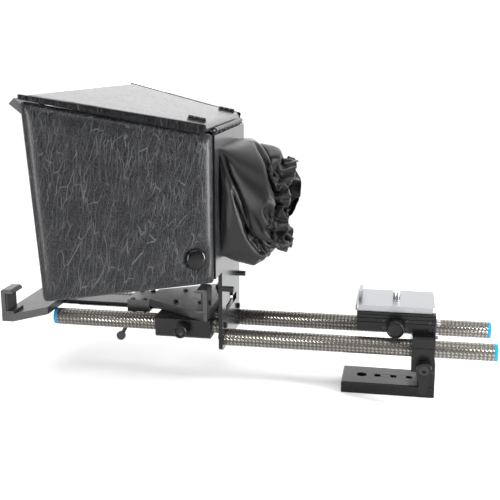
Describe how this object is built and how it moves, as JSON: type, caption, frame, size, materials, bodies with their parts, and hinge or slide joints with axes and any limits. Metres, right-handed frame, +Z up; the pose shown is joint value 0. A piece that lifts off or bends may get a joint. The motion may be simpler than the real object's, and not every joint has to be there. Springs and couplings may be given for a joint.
{
  "type": "teleprompter",
  "caption": "Tablet teleprompter: leatherette hood with angled beam splitter glass, lens shroud, carbon rods, sliding tablet cradle and camera base on a tripod plate.",
  "frame": {"origin": "centre of the middle 1/4 inch tripod hole, on the underside of the tripod plate", "axes": "+Z up, -Y towards the reader (the hood's open end), +Y towards the camera operator, +X the operator's left"},
  "size_m": [0.271, 0.4263, 0.2666],
  "materials": {
    "beam_splitter_glass": "half-silvered beam splitter",
    "black_anodised": "black anodised aluminium, satin",
    "black_leatherette": "black creased leatherette over board",
    "black_nylon": "black satin nylon",
    "black_plastic": "moulded, fine grain",
    "black_rubber": "matt",
    "black_steel": "black oxide steel",
    "blue_plastic": "blue end cap",
    "bright_steel": "bright steel",
    "carbon_fibre": "woven carbon fibre tube, clear coated",
    "gloss_black_plastic": "polished",
    "silver_aluminium": "brushed, clear anodised"
  },
  "bodies": {
    "support": {"tripod_plate": "black_anodised", "support_post": "black_anodised", "rod_saddle": "black_anodised", "clamp_cap": "black_anodised", "clamp_screws": "black_steel", "lever_nut": "bright_steel", "camera_base": "black_anodised", "base_side_screws": "black_steel", "rear_screws": "black_steel"},
    "lever": {"clamp_lever": "black_plastic", "lever_bolt": "black_steel"},
    "base_thumbscrew": {"base_knob": "black_plastic"},
    "camera_slider": {"camera_plate": "silver_aluminium"},
    "camera_bolt": {"camera_screw": "bright_steel"},
    "rig": {"rear_rod_left": "carbon_fibre", "rear_rod_right": "carbon_fibre", "front_rod_left": "carbon_fibre", "front_rod_right": "carbon_fibre", "rod_end_caps": "blue_plastic", "rod_inserts": "silver_aluminium", "rod_screws": "black_steel", "lens_plate": "black_anodised", "plate_studs": "bright_steel", "lens_shroud": "black_nylon", "shroud_retainer": "black_plastic", "plate_screws": "black_steel", "hood_side_left": "black_leatherette", "hood_side_right": "black_leatherette", "hood_brackets": "black_anodised", "pivot_blocks": "black_plastic", "hinge_fixed_leaf": "black_steel", "hinge_pin": "bright_steel"},
    "hood_roof": {"hood_top": "black_leatherette", "hood_flap_left": "black_leatherette", "hood_flap_right": "black_leatherette", "hinge_moving_leaf": "black_steel", "hood_clips": "black_steel"},
    "glass": {"glass_pane": "beam_splitter_glass", "glass_frame": "black_plastic", "pivot_pins": "bright_steel"},
    "glass_lock_left": {"glass_knob_left": "gloss_black_plastic"},
    "glass_lock_right": {"glass_knob_right": "gloss_black_plastic"},
    "carriage": {"carriage_block": "black_anodised", "cradle_housing": "black_plastic", "rear_wing": "black_plastic", "cradle_screws": "bright_steel", "rear_claws": "black_plastic", "rear_claw_pads": "black_rubber", "rear_claw_screws": "bright_steel"},
    "carriage_lock_left": {"carriage_knob_left": "black_plastic"},
    "carriage_lock_right": {"carriage_knob_right": "black_plastic"},
    "cradle_front": {"slide_bar": "black_anodised", "front_wing": "black_plastic", "bar_screws": "black_steel", "front_claws": "black_plastic", "front_claw_pads": "black_rubber", "front_claw_screws": "black_steel"},
    "cradle_lock": {"cradle_lock_screw": "bright_steel"}
  },
  "joints": [
    {"name": "rod_slide", "type": "slide", "parent": "support", "child": "rig", "axis": [0, 1, 0], "range_m": [-0.045, 0.1]},
    {"name": "lever_turn", "type": "hinge", "parent": "support", "child": "lever", "pos_m": [0.045, 0.025, 0.0358], "axis": [1, 0, 0], "range_deg": [-90, 90]},
    {"name": "base_knob_turn", "type": "hinge", "parent": "support", "child": "base_thumbscrew", "pos_m": [0.03, 0, 0.067], "axis": [1, 0, 0], "range_deg": [0, 360]},
    {"name": "camera_plate_slide", "type": "slide", "parent": "support", "child": "camera_slider", "axis": [0, 1, 0], "range_m": [-0.02, 0.02]},
    {"name": "camera_screw_turn", "type": "hinge", "parent": "camera_slider", "child": "camera_bolt", "pos_m": [0, 0, 0.08], "axis": [0, 0, 1], "range_deg": [0, 360]},
    {"name": "roof_lift", "type": "hinge", "parent": "rig", "child": "hood_roof", "pos_m": [0, -0.15175, 0.235], "axis": [-1, 0, 0], "range_deg": [0, 95]},
    {"name": "glass_tilt", "type": "hinge", "parent": "rig", "child": "glass", "pos_m": [0, -0.1643, 0.1315], "axis": [1, 0, 0], "range_deg": [0, 45]},
    {"name": "glass_lock_left_turn", "type": "hinge", "parent": "rig", "child": "glass_lock_left", "pos_m": [0.07579, -0.1643, 0.1315], "axis": [0.9033, 0.4289, 0], "range_deg": [0, 360]},
    {"name": "glass_lock_right_turn", "type": "hinge", "parent": "rig", "child": "glass_lock_right", "pos_m": [-0.07579, -0.1643, 0.1315], "axis": [-0.9033, 0.4289, 0], "range_deg": [0, 360]},
    {"name": "carriage_slide", "type": "slide", "parent": "rig", "child": "carriage", "axis": [0, -1, 0], "range_m": [-0.003, 0.09]},
    {"name": "carriage_lock_left_turn", "type": "hinge", "parent": "carriage", "child": "carriage_lock_left", "pos_m": [0.046, -0.185, 0.06], "axis": [1, 0, 0], "range_deg": [0, 360]},
    {"name": "carriage_lock_right_turn", "type": "hinge", "parent": "carriage", "child": "carriage_lock_right", "pos_m": [-0.046, -0.185, 0.06], "axis": [-1, 0, 0], "range_deg": [0, 360]},
    {"name": "cradle_slide", "type": "slide", "parent": "carriage", "child": "cradle_front", "axis": [0, -1, 0], "range_m": [-0.04, 0.028]},
    {"name": "cradle_lock_turn", "type": "hinge", "parent": "carriage", "child": "cradle_lock", "pos_m": [0, -0.239, 0.066], "axis": [0, -0.5, -0.866], "range_deg": [0, 360]}
  ]
}
